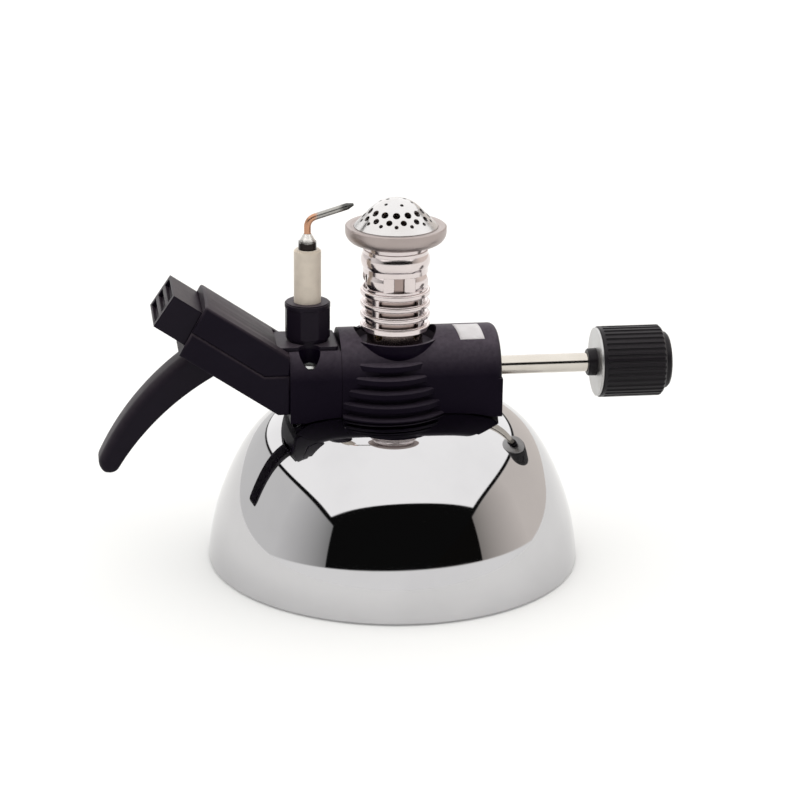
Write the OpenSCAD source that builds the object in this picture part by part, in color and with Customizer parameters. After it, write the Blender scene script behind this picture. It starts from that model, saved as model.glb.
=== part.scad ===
// Tabletop gas micro burner: a chrome dome holds the fuel tank, a black moulded body
// lies across its top and carries the burner tube, the valve spindle with its knob on
// the right, and the tilted piezo igniter arm with its trigger lever on the left.
//
// +Z is up along the burner's axis, +X runs along the valve spindle to the knob.
// The origin is the centre of the resting foot ring, on the table.

/* [Dome base] */
// Radius of the dome at table level
dome_r = 47.5; // [46:0.5:52]
// Height of the dome's crown above the table
dome_h = 41.7; // [41.2:0.1:41.8]
// Radius of the arc that forms the dome's side
dome_side_r = 66; // [62:0.5:74]
// Drop of the side arc's centre below the table
dome_side_drop = 4.3; // [2:0.1:7]
// Radius of the dome's shoulder
dome_shoulder_r = 22.6; // [20:0.1:25]
// Radius of the dome's flat crown
dome_crown_r = 290; // [240:10:400]
// Wall of the pressed dome
dome_wall = 0.8; // [0.6:0.1:1.2]
// Height of the dome's lower edge above the table
dome_edge_z = 0.6; // [0.4:0.1:1]
// Thickness of the bottom closing plate
plate_t = 1.6; // [1.2:0.1:2.4]
// How far the rubber foot ring stands in from the dome's edge
foot_inset = 4; // [3.5:0.5:7]
// Width of the rubber foot ring
foot_w = 5; // [3:0.5:8]
// Radius on which the bottom screws stand
base_screw_pcr = 24; // [22:0.5:25]
// Number of bottom screws
base_screw_n = 3; // [3:1:6]

/* [Fuel tank] */
// Outer radius of the tank
tank_r = 32; // [30:0.5:34]
// Wall of the tank
tank_wall = 0.9; // [0.7:0.1:1.2]
// Height of the tank's underside above the table
tank_z = 7; // [6:0.5:9]
// Height of the seam between the tank's halves
seam_z = 15; // [13:0.5:17]
// Height of the tank's upper shoulder
tank_shoulder_z = 26; // [23:0.5:27]
// Outer radius of the tank's neck
neck_r = 6; // [5:0.25:6.5]

/* [Burner body] */
// Height of the spindle's axis above the table
axis_z = 50; // [49.5:0.1:50.5]
// Radius of the body's half-round top, and half of its width
body_r = 11; // [10.8:0.1:11.3]
// Right end of the main body
body_right = 26; // [25:0.5:28]
// Seam between the main body and the igniter block
body_seam = -14.5; // [-15:0.1:-14]
// Left end of the igniter block
block_left = -27.5; // [-29:0.1:-27]
// Height of the body's lower edge
body_bottom = 40; // [39.8:0.1:40.4]
// Rounding of the body's right end
body_edge_r = 2; // [1:0.25:3]
// Height of the flat top of the igniter block
block_top = 57.6; // [57.2:0.1:58]
// Radius of the bell's lowest rib
bell_r = 17.3; // [16.5:0.1:18]
// How fast the ribs shrink towards the top of the bell
bell_taper = 0.85; // [0.6:0.05:1]
// How far the bell stands to the left of the burner's axis
bell_shift = 2.2; // [0:0.1:3]
// Number of ribs on the bell
rib_n = 5; // [4:1:5]
// Rib pitch
rib_pitch = 3.2; // [3:0.05:3.4]
// Thickness of a rib
rib_t = 1.7; // [1.2:0.1:2.2]
// Depth of the grooves between the ribs
rib_depth = 1.6; // [0.8:0.1:2]
// Radius of the collar's flared lip
collar_r = 11.2; // [10.8:0.1:11.4]
// Height of the collar's lip
collar_z = 59.3; // [58.6:0.1:60]
// Wall of the collar
collar_wall = 0.8; // [0.6:0.1:1]

/* [Burner tube] */
// Outer radius of the mixing tube
mix_r = 7; // [6.7:0.1:7.2]
// Wall of the mixing tube
mix_wall = 0.7; // [0.5:0.1:0.9]
// Outer radius of the slotted sleeve
sleeve_r = 8.8; // [8.6:0.1:9.3]
// Height of the sleeve's lower edge
sleeve_z = 61; // [60.5:0.1:61.5]
// Pitch of the slotted grooves
slot_pitch = 2.9; // [2.7:0.05:3]
// Height of a groove between two beads
groove_h = 1.7; // [1.3:0.05:1.8]
// Height of a slot in its groove
slot_h = 1.3; // [0.8:0.05:1.3]
// Half of the angle that a slot spans
slot_half = 38; // [30:1:40]
// Number of slots and windows round the sleeve
slot_n = 4; // [3:1:4]
// Height of the window
window_h = 3.8; // [3:0.1:4]
// Width of the window
window_w = 8; // [6:0.25:9]
// Radius of the burner head
head_r = 12.65; // [12:0.05:13.5]
// Height of the head's rim
head_z = 87.6; // [87:0.1:88.5]
// Radius of the rounded bowl under the rim
bowl_r = 3; // [2.4:0.1:3.2]
// Height of the straight rim above the bowl
rim_h = 1.4; // [1:0.1:1.8]
// Radius of the flame cap at the rim
cap_r = 10.4; // [10:0.05:10.6]
// Height of the flame cap above the rim
cap_h = 6.9; // [6:0.1:8]
// Radius at which the cap's cone meets its domed top
cap_top_r = 6; // [4.5:0.25:7]
// Height of the cap's cone above the rim
cap_cone_h = 4.5; // [3.5:0.1:5]
// Wall of the flame cap
cap_wall = 0.6; // [0.5:0.05:0.8]
// Number of holes in a row of the flame cap
cap_holes = 14; // [10:1:15]

/* [Valve and knob] */
// Radius of the spindle
spindle_r = 2.4; // [2.1:0.05:2.6]
// Running clearance of sliding and turning fits
fit = 0.05; // [0.03:0.01:0.08]
// Left face of the knob
knob_left = 51.9; // [50:0.1:56]
// Length of the knob's ribbed barrel
knob_len = 16.9; // [14:0.1:20]
// Radius of the knob over its ribs
knob_r = 9.1; // [8.5:0.05:10]
// Depth of the knob's grooves
knob_rib_depth = 0.4; // [0.3:0.05:0.45]
// Number of ribs round the knob
knob_rib_n = 36; // [28:1:40]
// Radius of the knob's end cap
knob_cap_r = 7.2; // [6.5:0.1:8]
// Travel of the needle
needle_travel = 1; // [0.6:0.1:1.2]

/* [Igniter arm] */
// Tilt of the arm below the horizontal
arm_tilt = 34; // [32:0.5:36]
// X of the bend in the arm's split line
bend_x = -33.8; // [-34.5:0.1:-33]
// Height of the bend in the arm's split line
bend_z = 52.3; // [52:0.1:52.6]
// Length of the arm from the bend to its open end
arm_len = 21.5; // [21:0.25:24]
// Height of the arm above its split line
arm_up = 8; // [7.7:0.1:8.2]
// Depth of the arm below its split line
arm_down = 6.6; // [6.4:0.1:7]
// Width of the arm
arm_w = 21; // [20.4:0.1:21.6]
// Crown radius of the arm's upper side
arm_crown_r = 90; // [70:5:140]
// Side wall of the arm's shells
arm_wall = 1; // [0.8:0.1:1.2]
// Wall of the shells above and below
arm_skin = 1.4; // [1.2:0.1:1.5]
// Length of the push button outside the arm
button_len = 8.2; // [7:0.2:10]
// Clearance of the button in the arm
button_gap = 0.3; // [0.25:0.05:0.4]
// Stroke of the push button
button_stroke = 2.8; // [2:0.1:3]
// Width of the trigger lever
lever_w = 9; // [8:0.25:9.4]
// Bend radius of the lever's outer side
lever_bend_r = 70; // [66:1:90]
// How far the lever's tip lies left of its root
lever_reach = 21.6; // [19:0.2:22]
// How far the lever's tip lies below its root
lever_drop = 29; // [27:0.2:31]
// Thickness of the lever at its root
lever_root_t = 9.6; // [8.6:0.1:10]
// Thickness of the lever at its tip
lever_tip_t = 5.4; // [4:0.1:6]

/* [Electrode] */
// X of the electrode's axis
electrode_x = -22.1; // [-22.6:0.1:-21.6]
// Radius of the holder tube
holder_r = 5.4; // [5:0.1:5.8]
// Height of the holder's top
holder_z = 68.5; // [66:0.25:71]
// Length of the holder's flange plate
flange_l = 15.3; // [14.6:0.1:15.6]
// Width of the holder's flange plate
flange_w = 14; // [13:0.25:15]
// Thickness of the holder's flange plate
flange_t = 1; // [0.8:0.1:1.2]
// Radius of the ceramic insulator
insulator_r = 3.4; // [3:0.1:3.8]
// Height of the insulator's top
insulator_z = 82; // [79:0.25:83]
// Radius of the electrode wire
wire_r = 0.85; // [0.7:0.05:1]

/* [Hidden] */
$fn = 96;
// Overlap of the pieces that one union joins
eps = 0.02;
// Gap between pieces that only lie beside each other
gap = 0.1;
far = 200;

// Dome: centres of the side, crown and shoulder arcs in the radius-height plane
side_c = [dome_r - sqrt(pow(dome_side_r, 2) - pow(dome_side_drop, 2)), -dome_side_drop];
crown_c = [0, dome_h - dome_crown_r];
arc_link = crown_c - side_c;
arc_dist = norm(arc_link);
side_reach = dome_side_r - dome_shoulder_r;
crown_reach = dome_crown_r - dome_shoulder_r;
link_along = (pow(side_reach, 2) - pow(crown_reach, 2) + pow(arc_dist, 2)) / (2 * arc_dist);
link_off = sqrt(pow(side_reach, 2) - pow(link_along, 2));
shoulder_c = side_c + (link_along * arc_link + link_off * [-arc_link[1], arc_link[0]]) / arc_dist;
to_side = (shoulder_c - side_c) / side_reach;
to_crown = (shoulder_c - crown_c) / crown_reach;
lip_w = 3;
plate_z = dome_edge_z + dome_wall;
plate_top = plate_z + plate_t;
plate_r = dome_r - dome_wall - 0.9;
foot_r = dome_r - foot_inset;
boss_r = 3;
screw_r = 1.5;
screw_head_r = 2.4;
screw_head_t = 1.5;
body_screw_x = [body_seam - 2, body_right - 6];
body_screw_top = body_bottom + 3.2;
crown_z = dome_h + gap / 2;
// Radius up to which the body's underside is cut to the dome
cut_reach = norm([max(-block_left, body_right), body_r]) + 3;

// Filler valve under the tank
filler_r = 4;
filler_nozzle_r = 3;
filler_bore_r = 1.2;
filler_flange_r = 6;
filler_flange_t = 1.5;
filler_nozzle_z = plate_z + 1;
filler_chamber_r = 2.6;
filler_chamber_h = 4.4;
filler_top = tank_z + 6;
seal_t = 0.8;
filler_travel = 1.2;

// Valve column and barrel
column_r = mix_r;
column_top = 57;
spigot_top = 58;
column_flange_r = column_r + 2;
column_flange_t = 2.6;
neck_top = crown_z + 4;
barrel_r = 5.2;
barrel_end = body_right - 5.5;
needle_r = spindle_r + 0.6;
needle_left = 4.5;
needle_right = 12.5;
needle_bore_x = 7.2;
thread_r = 1.5;
thread_left = 8.8;
spindle_collar_x = 14;
spindle_collar_t = 1.6;
nut_r = 4.1;
nut_flats = 9.4;
nut_head_t = 3;
nut_left = spindle_collar_x + spindle_collar_t + gap;
ring_x = nut_left + 1.2;
ring_t = 1.2;
ring_r = spindle_r + 1;
end_bore_r = nut_flats / sqrt(3) + 0.5;

// Jet on top of the column, seat and key of the needle
jet_z = 54;
jet_r = 2;
seat_x = 4;
seat_r = 1;
key_w = 0.8;
key_h = 0.5;

// Well and collar round the sleeve
well_z = column_top;
well_r = collar_r - collar_wall;

// Knob
knob_right = knob_left + knob_len;
knob_boss_r = 3.5;
knob_boss_l = 2.2;
knob_plate_t = 0.6;
knob_cap_t = 1.8;
spindle_right = knob_left + 13;

// Burner tube
mix_top = 84.6;
mix_bore_r = mix_r - mix_wall;
sleeve_wall = 1;
sleeve_groove_r = sleeve_r - 0.65;
sleeve_bore_r = sleeve_groove_r - sleeve_wall + 0.25;
sleeve_top = head_z - bowl_r - rim_h;
neck_z = sleeve_top - 1.8;
band_z = sleeve_z + 2.3 + 2 * slot_pitch + groove_h / 2 + 1.55;
band_pitch = (neck_z - band_z) / 2;

// Flame cap: a cone on a straight skirt, with a domed top that is a cap of a sphere
cap_dome_h = cap_h - cap_cone_h;
cap_sphere_r = (pow(cap_top_r, 2) + pow(cap_dome_h, 2)) / (2 * cap_dome_h);
cap_c = head_z + cap_h - cap_sphere_r;
cap_skirt_r = cap_r + 0.1;
skirt_top = head_z - 0.1;
skirt_z = head_z - 1.7;
cone_h = head_z + cap_cone_h - skirt_top;
// Tilt of the cone's face from the horizontal
cone_tilt = atan(cone_h / (cap_skirt_r - cap_top_r));
// Height of the cap's outer face at radius r, and the tilt of its face there
function cap_face_z(r) = r > cap_top_r
  ? skirt_top + (cap_skirt_r - r) * tan(cone_tilt)
  : cap_c + sqrt(pow(cap_sphere_r, 2) - pow(r, 2));
function cap_tilt(r) = r > cap_top_r ? cone_tilt : asin(r / cap_sphere_r);

// Igniter arm: positions along the arm (u) and across it (v) from the bend
function arm_pt(u, v) = [
  bend_x - u * cos(arm_tilt) + v * sin(arm_tilt),
  bend_z + u * sin(arm_tilt) + v * cos(arm_tilt)
];
// Place along the arm at which the line at height v reaches the level z
function arm_u_at(v, z) = (z - bend_z - v * cos(arm_tilt)) / sin(arm_tilt);
arm_bottom_z = body_bottom + 2.1;
arm_ceiling = arm_up - 2.3;
arm_floor = arm_skin - arm_down;
// Centre of the arc of radius r from a to b, on the burner's side
function arc_centre(a, b, r) =
  (a + b) / 2 + sqrt(pow(r, 2) - pow(norm(b - a) / 2, 2)) * [a[1] - b[1], b[0] - a[0]] / norm(b - a);
end_lean = 0.09;
mouth_t = 1.5;
button_top = arm_ceiling - button_gap;
button_low = -3.8;
button_w = arm_w - 2 * arm_wall - 2 * button_gap;
button_in = arm_len - 0.9;
button_out = arm_len + 0.4 + button_len;

// Trigger: the pivot, the cross pin that it drives, and its swing
pivot_u = arm_len - 6.5;
pivot_v = arm_ceiling - 2.7;
pivot_r = 1;
hub_r = 2.3;
pin_arm = 6.2;
pin_r = 1;
swing = 2 * atan(button_stroke / 2 / pin_arm);
pin_u = pivot_u + button_stroke / 2;
pin_v = pivot_v - pin_arm;
rail_in = lever_w / 2 + 0.5;
rail_out = rail_in + 2.4;
rail_top = pivot_v - pivot_r - 0.6;
rail_low = pin_v - pin_r - 0.6;
web_u = pivot_u - 5;
plunger_r = 2.2;
piezo_r = 3.7;
piezo_left = 2.4;
piezo_right = -11;
tongue_y = 7;
lead_r = 0.7;
plunger_l = 5;
slot_u0 = pivot_u - 11.4;
slot_u1 = pivot_u + 4.4;

// Lever: outer and inner arcs between root and rounded tip
lever_root = arm_pt(pivot_u + 4.1, -arm_down - 2.8);
lever_root_dir = [cos(29), -sin(29)];
lever_tip = lever_root - [lever_reach, lever_drop];
outer_c = arc_centre(lever_root, lever_tip, lever_bend_r);
tip_r = lever_tip_t / 2;
tip_z = lever_tip[1] + tip_r;
tip_reach = lever_bend_r - tip_r;
tip_c = [outer_c[0] - sqrt(pow(tip_reach, 2) - pow(tip_z - outer_c[1], 2)), tip_z];
tip_in_dir = (outer_c - tip_c) / tip_reach;
inner_r = lever_bend_r - 2;
inner_c = arc_centre(lever_root + lever_root_t * lever_root_dir, tip_c + tip_r * tip_in_dir, inner_r);

// Electrode
flange_z = block_top;
flange_top = flange_z + flange_t;
flange_back = flange_l / 2 + 0.65;
stem_r = 4.6;
stem_z = 52.4;
insulator_z0 = 54;
wire_z = stem_z - 0.2;
ferrule_r = 2.25;
ferrule_top = insulator_z + 2.3;
wire_bend_r = 2.6;
wire_bend_z = ferrule_top + 3.4;
wire_rise = 17;
wire_reach = 10.1;
pocket_r = 2.7;
pocket_x = electrode_x - 0.3;
pocket_y = -7.6;
pocket_z = 53;

// ---- Dome base -----------------------------------------------------------------

// Wedge beyond the tangent points, where the shoulder arc replaces the corner
module shoulder_wedge() {
  polygon([
    shoulder_c,
    shoulder_c + 60 * to_side,
    shoulder_c + 60 * (to_side + to_crown),
    shoulder_c + 60 * to_crown
  ]);
}

// Half section of the dome, grown by g
module dome_section(g) {
  difference() {
    intersection() {
      translate(side_c) circle(r = dome_side_r + g);
      translate(crown_c) circle(r = dome_crown_r + g, $fn = 360);
      translate([0, dome_edge_z]) square([dome_r + 5, dome_h + 5]);
    }
    shoulder_wedge();
  }
  intersection() {
    translate(shoulder_c) circle(r = dome_shoulder_r + g);
    shoulder_wedge();
  }
}

module dome_solid(g) {
  rotate_extrude() dome_section(g);
}

// Height of the dome's outer face at radius r
function dome_top(r) = r < to_crown[0] * dome_crown_r
  ? crown_c[1] + sqrt(pow(dome_crown_r, 2) - pow(r, 2))
  : shoulder_c[1] + sqrt(pow(dome_shoulder_r, 2) - pow(r - shoulder_c[0], 2));

// Solid under the body that follows the dome in short cones, just clear of it
module dome_cutter() {
  rotate_extrude() polygon(concat(
    [[0, dome_edge_z]],
    [for (i = [0:13]) [cut_reach / 13 * i, dome_top(cut_reach / 13 * i) + gap]],
    [[cut_reach, dome_edge_z]]
  ));
}

// Holes in the dome and pilot holes in the body for the screws that hold it
module at_body_screws() {
  for (x = body_screw_x) translate([x, 0, 0]) children();
}

// Height of a body screw's head, which lies up against the inside of the dome
function body_screw_z(x) = dome_top(abs(x) + screw_head_r) - dome_wall - 2 * gap - screw_head_t;

module base_shell() {
  color("silver") difference() {
    union() {
      difference() {
        dome_solid(0);
        dome_solid(-dome_wall);
      }
      // lip turned in at the lower edge, which carries the closing plate
      intersection() {
        dome_solid(0);
        translate([0, 0, dome_edge_z]) ring(dome_r + 1, dome_r - lip_w, dome_wall);
      }
    }
    cylinder(r = neck_r + 0.3, h = far);
    at_body_screws() cylinder(r = screw_r, h = far);
  }
}

module ring(outer, inner, h) {
  difference() {
    cylinder(r = outer, h = h);
    translate([0, 0, -1]) cylinder(r = inner, h = h + 2);
  }
}

module at_base_screws() {
  for (i = [0:base_screw_n - 1])
    rotate([0, 0, 90 + 360 / base_screw_n * i]) translate([base_screw_pcr, 0, 0]) children();
}

module base_plate() {
  color("#202022") difference() {
    union() {
      translate([0, 0, plate_z]) cylinder(r = plate_r, h = plate_t);
      // stiffening rings on the inner side
      translate([0, 0, plate_top - eps]) ring(filler_flange_r + 4, filler_flange_r + 2.5, 2);
      translate([0, 0, plate_top - eps]) ring(plate_r - 3, plate_r - 4.5, 2);
    }
    // opening for the refill can's nozzle
    cylinder(r = filler_flange_r - 1, h = far);
    at_base_screws() {
      cylinder(r = screw_r + 0.2, h = far);
      translate([0, 0, plate_z - 1]) cylinder(r = 3, h = 1.8);
    }
  }
}

module foot_ring() {
  color("#2b2b2b") rotate_extrude() polygon([
    [foot_r - foot_w + 0.5, 0],
    [foot_r - 0.5, 0],
    [foot_r, 0.5],
    [foot_r, plate_z],
    [foot_r - foot_w, plate_z],
    [foot_r - foot_w, 0.5]
  ]);
}

module base_screws() {
  color("lightgray") at_base_screws() {
    translate([0, 0, plate_z - 0.4]) difference() {
      cylinder(r = 2.7, h = 1.2);
      cross_recess(2.6, 0.7);
    }
    translate([0, 0, plate_z + 0.7]) cylinder(r = screw_r, h = tank_z - plate_z - 1.3);
  }
}

// Cross recess in a screw head that faces down
module cross_recess(w, depth) {
  for (a = [0, 90]) rotate([0, 0, a]) translate([-w / 2, -0.3, -1]) cube([w, 0.6, depth + 1]);
}

// ---- Fuel tank -----------------------------------------------------------------

module tank_lower() {
  color("darkgray") difference() {
    union() {
      translate([0, 0, tank_z]) rotate_extrude() difference() {
        cup_section(tank_r, seam_z - tank_z, 4);
        translate([0, tank_wall]) cup_section(tank_r - tank_wall, seam_z, 4 - tank_wall);
      }
      // weld nuts for the bottom screws
      at_base_screws() translate([0, 0, plate_top]) cylinder(r = boss_r, h = tank_z - plate_top + eps);
    }
    at_base_screws() cylinder(r = screw_r + fit, h = tank_z - eps);
    cylinder(r = filler_r + fit, h = far);
  }
}

// Half section of a cup with a rounded bottom edge
module cup_section(r, h, edge) {
  square([r - edge, h]);
  translate([0, edge]) square([r, h - edge]);
  translate([r - edge, edge]) circle(r = edge);
}

module tank_upper() {
  lap = 3;
  top_z = dome_h - 4;
  color("darkgray") rotate_extrude() difference() {
    polygon([
      [0, seam_z - lap],
      [tank_r + fit + tank_wall, seam_z - lap],
      [tank_r + fit + tank_wall, tank_shoulder_z],
      [tank_r - 4, tank_shoulder_z + 5],
      [neck_r + 6, top_z],
      [neck_r, top_z],
      [neck_r, neck_top],
      [0, neck_top]
    ]);
    polygon([
      [0, seam_z - lap - 1],
      [tank_r + fit, seam_z - lap - 1],
      [tank_r + fit, tank_shoulder_z - tank_wall / 3],
      [tank_r - 4.4, tank_shoulder_z + 5 - tank_wall],
      [neck_r + 5.8, top_z - tank_wall],
      [neck_r - 2.5, top_z - tank_wall],
      [neck_r - 2.5, neck_top + 1],
      [0, neck_top + 1]
    ]);
  }
}

module filler_body() {
  color("goldenrod") difference() {
    union() {
      translate([0, 0, filler_nozzle_z]) cylinder(r = filler_nozzle_r, h = tank_z - filler_nozzle_z);
      translate([0, 0, tank_z - filler_flange_t]) cylinder(r = filler_flange_r, h = filler_flange_t);
      translate([0, 0, tank_z - eps]) cylinder(r = filler_r, h = filler_top - tank_z + eps);
    }
    cylinder(r = filler_bore_r, h = far);
    translate([0, 0, tank_z]) cylinder(r = filler_chamber_r, h = filler_chamber_h);
  }
}

module filler_seal() {
  color("#303030") translate([0, 0, tank_z]) ring(filler_chamber_r, filler_bore_r, seal_t);
}

module filler_stem() {
  color("gold") {
    translate([0, 0, filler_nozzle_z - 0.6])
      cylinder(r = filler_bore_r - fit, h = filler_top - filler_nozzle_z);
    translate([0, 0, tank_z + seal_t + 0.02]) cylinder(r = filler_chamber_r - 0.3, h = 0.9);
  }
}

// ---- Burner body ---------------------------------------------------------------

// Bar with a half-round top and straight sides, from x0 to x1, rounded by edge at x1
module body_bar(x0, x1, edge) {
  translate([x0, 0, axis_z]) rotate([0, 90, 0]) rotate_extrude() {
    square([body_r - edge, x1 - x0]);
    square([body_r, x1 - x0 - edge]);
    if (edge > 0) translate([body_r - edge, x1 - x0 - edge]) circle(r = edge);
  }
  translate([x0, -body_r, body_bottom]) cube([x1 - x0, 2 * body_r, axis_z - body_bottom]);
}

function rib_r(i) = bell_r - bell_taper * pow(i, 1.2);
function rib_top(i) = body_bottom + 2.05 + i * rib_pitch;

// Ribbed bell round the burner's axis
module bell() {
  for (i = [0:rib_n - 1]) {
    low = i == 0 ? body_bottom - 2 : rib_top(i) - rib_t;
    rotate_extrude() polygon([
      [0, low],
      [rib_r(i), low],
      [rib_r(i), rib_top(i) - 0.4],
      [rib_r(i) - 0.4, rib_top(i)],
      [0, rib_top(i)]
    ]);
    if (i > 0) translate([0, 0, rib_top(i - 1) - eps])
      cylinder(r = rib_r(i) - rib_depth, h = rib_pitch - rib_t + 2 * eps);
  }
}

// Flared collar, a cup round the foot of the burner sleeve
module collar() {
  rotate_extrude() polygon([
    [0, collar_z - 6],
    [collar_r - 2.3, collar_z - 6],
    [collar_r - 0.7, collar_z - 2.4],
    [collar_r, collar_z],
    [0, collar_z]
  ]);
}

module body_housing() {
  color("#1b191d") difference() {
    union() {
      body_bar(body_seam, body_right, body_edge_r);
      intersection() {
        translate([-bell_shift, 0, 0]) bell();
        translate([body_seam, -far / 2, dome_edge_z]) cube([far, far, far]);
      }
      collar();
    }
    dome_cutter();
    // column with its flange, well and barrel
    cylinder(r = column_r + gap, h = column_top + 1);
    cylinder(r = column_flange_r + gap, h = crown_z + column_flange_t + gap);
    rotate_extrude() polygon([
      [0, well_z],
      [well_r - 0.7, well_z],
      [well_r, collar_z - 0.6],
      [well_r, collar_z + far],
      [0, collar_z + far]
    ]);
    along_x(0) cylinder(r = barrel_r + gap, h = far);
    along_x(barrel_end) cylinder(r = end_bore_r, h = far);
    at_body_screws() cylinder(r = screw_r - 0.3 + fit, h = body_screw_top + 0.4);
  }
}

// Turns a child drawn along +Z to lie along +X on the spindle's axis, from x
module along_x(x) {
  translate([x, 0, axis_z]) rotate([0, 90, 0]) children();
}

module body_screws() {
  color("silver") for (x = body_screw_x) translate([x, 0, body_screw_z(x)]) {
    difference() {
      cylinder(r = screw_head_r, h = screw_head_t);
      cross_recess(screw_head_r, 0.8);
    }
    translate([0, 0, screw_head_t - eps])
      cylinder(r = screw_r - 0.3, h = body_screw_top - body_screw_z(x) - screw_head_t);
  }
}

module igniter_block() {
  cavity_w = 2 * piezo_r + 1.8;
  cavity_low = body_bottom + 2.6;
  color("#1b191d") difference() {
    body_bar(block_left, body_seam - gap / 2, 0);
    translate([block_left - 1, -far / 2, block_top]) cube([far, far, far]);
    dome_cutter();
    // room for the piezo cell and the lead
    translate([block_left - 1, -cavity_w / 2, cavity_low])
      cube([body_seam - 4 - block_left + 1, cavity_w, pocket_z - gap - cavity_low]);
    // stem of the electrode holder
    translate([electrode_x, 0, axis_z]) cylinder(r = stem_r + fit, h = far);
    screw_pocket(block_top + 1);
    translate([pocket_x, pocket_y, 0]) translate([0, 0, pocket_z - 6.5])
      cylinder(r = 1.1, h = 10);
    tongues(gap);
    at_arm_screws() arm_screw(gap, 3);
    translate([body_screw_x[0], 0, 0]) cylinder(r = screw_r - 0.3 + fit, h = body_screw_top + 0.4);
  }
}

// Round pocket that takes the block's screw, up to the height top
module screw_pocket(top) {
  translate([pocket_x, pocket_y, pocket_z]) cylinder(r = pocket_r, h = top - pocket_z);
}

module block_screw() {
  color("silver") translate([pocket_x, pocket_y, pocket_z]) difference() {
    union() {
      cylinder(r = 2.2, h = 0.9);
      translate([0, 0, 0.9 - eps]) cylinder(r1 = 2.2, r2 = 1.5, h = 0.5);
      translate([0, 0, -6]) cylinder(r = 1.05, h = 6 + eps);
    }
    translate([0, 0, 1.4]) mirror([0, 0, 1]) cross_recess(2, 0.8);
  }
}

// ---- Igniter arm ---------------------------------------------------------------

// Draws a profile of the x-z plane as a slab of width w across the body
module slab(w) {
  rotate([90, 0, 0]) translate([0, 0, -w / 2]) linear_extrude(w) children();
}

function end_pt(v) = arm_pt(arm_len + v * end_lean, v);

module upper_outline() {
  polygon([
    end_pt(0),
    end_pt(arm_up),
    arm_pt(arm_u_at(arm_up, block_top + 0.6), arm_up),
    [block_left, block_top + 0.6],
    [block_left, bend_z],
    [bend_x, bend_z]
  ]);
}

module lower_outline() {
  polygon([
    end_pt(0),
    [bend_x, bend_z],
    [block_left, bend_z],
    [block_left, arm_bottom_z],
    arm_pt(arm_u_at(-arm_down, arm_bottom_z), -arm_down),
    end_pt(-arm_down)
  ]);
}

// Room inside the arm, and its open mouth round the push button
module arm_hollow() {
  room_u = arm_len - mouth_t;
  slab(arm_w - 2 * arm_wall) {
    polygon([
      arm_pt(room_u, arm_ceiling),
      arm_pt(arm_u_at(arm_ceiling, block_top - 1.2), arm_ceiling),
      [block_left + 1, block_top - 1.2],
      [block_left + 1, arm_bottom_z + arm_skin],
      arm_pt(arm_u_at(arm_floor, arm_bottom_z + arm_skin), arm_floor),
      arm_pt(room_u, arm_floor)
    ]);
    polygon([
      arm_pt(room_u - 1, arm_ceiling),
      arm_pt(room_u + 5, arm_ceiling),
      arm_pt(room_u + 5, button_low - button_gap),
      arm_pt(room_u - 1, button_low - button_gap)
    ]);
  }
}

// Puts a child drawn along +Z across the arm at (u, v)
module across_arm(u, v) {
  p = arm_pt(u, v);
  translate([p[0], 0, p[1]]) rotate([90, 0, 0]) children();
}

// Puts a child drawn along +Z on the arm's line at height v, from u towards the block
module down_arm(u, v) {
  p = arm_pt(u, v);
  translate([p[0], 0, p[1]]) rotate([0, 90 + arm_tilt, 0]) children();
}

module arm_upper() {
  color("#1d1b1f") difference() {
    intersection() {
      slab(arm_w) upper_outline();
      down_arm(arm_len + 20, arm_up - arm_crown_r)
        cylinder(r = arm_crown_r, h = far, $fn = 360);
    }
    arm_hollow();
    across_arm(pivot_u, pivot_v) cylinder(r = pivot_r + fit, h = arm_w - arm_wall, center = true);
    // seat for the flange of the electrode holder
    translate([electrode_x - flange_back - gap, -flange_w / 2 - gap, flange_z])
      cube([far, flange_w + 2 * gap, far]);
  }
}

module arm_lower() {
  color("#1d1b1f") difference() {
    union() {
      difference() {
        slab(arm_w) lower_outline();
        arm_hollow();
      }
      saddles();
      tongues(0);
    }
    // slot in the floor that the lever swings in
    slab(lever_w + 0.8) polygon([
      arm_pt(slot_u0, arm_floor + 0.5),
      arm_pt(slot_u1, arm_floor + 0.5),
      arm_pt(slot_u1, -arm_down - 1),
      arm_pt(slot_u0, -arm_down - 1)
    ]);
    at_arm_screws() arm_screw(fit, 0);
  }
}

// Saddles on the floor that hold the piezo cell
module saddles() {
  saddle_t = 1.2;
  difference() {
    intersection() {
      union() for (u = [piezo_left - 1.4, piezo_left - 5.6]) slab(2 * piezo_r + 3) polygon([
        arm_pt(u - saddle_t / 2, -0.4),
        arm_pt(u + saddle_t / 2, -0.4),
        arm_pt(u + saddle_t / 2, -far),
        arm_pt(u - saddle_t / 2, -far)
      ]);
      slab(arm_w) lower_outline();
    }
    down_arm(arm_len, 0) cylinder(r = piezo_r + fit, h = far);
  }
}

// Two tongues of the lower shell that reach into the block, grown by g
module tongues(g) {
  tongue_l = 4;
  tongue_w = 3;
  tongue_t = 2.6;
  for (side = [-1, 1]) translate([
    block_left - 2,
    side * tongue_y - tongue_w / 2 - g,
    arm_bottom_z + 0.8 - g
  ]) cube([tongue_l + g + 2, tongue_w + 2 * g, tongue_t + 2 * g]);
}

module at_arm_screws() {
  for (side = [-1, 1]) translate([block_left + 2, side * tongue_y, body_bottom + 0.9]) children();
}

// Screw from below through the block's floor into a tongue, grown by g, head longer by more
module arm_screw(g, more) {
  translate([0, 0, -more]) cylinder(r = 1.7 + g, h = 1 + more);
  cylinder(r = 0.9 + g, h = 4.2);
}

module arm_screws() {
  color("silver") at_arm_screws() difference() {
    arm_screw(0, 0);
    cross_recess(1.6, 0.5);
  }
}

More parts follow.
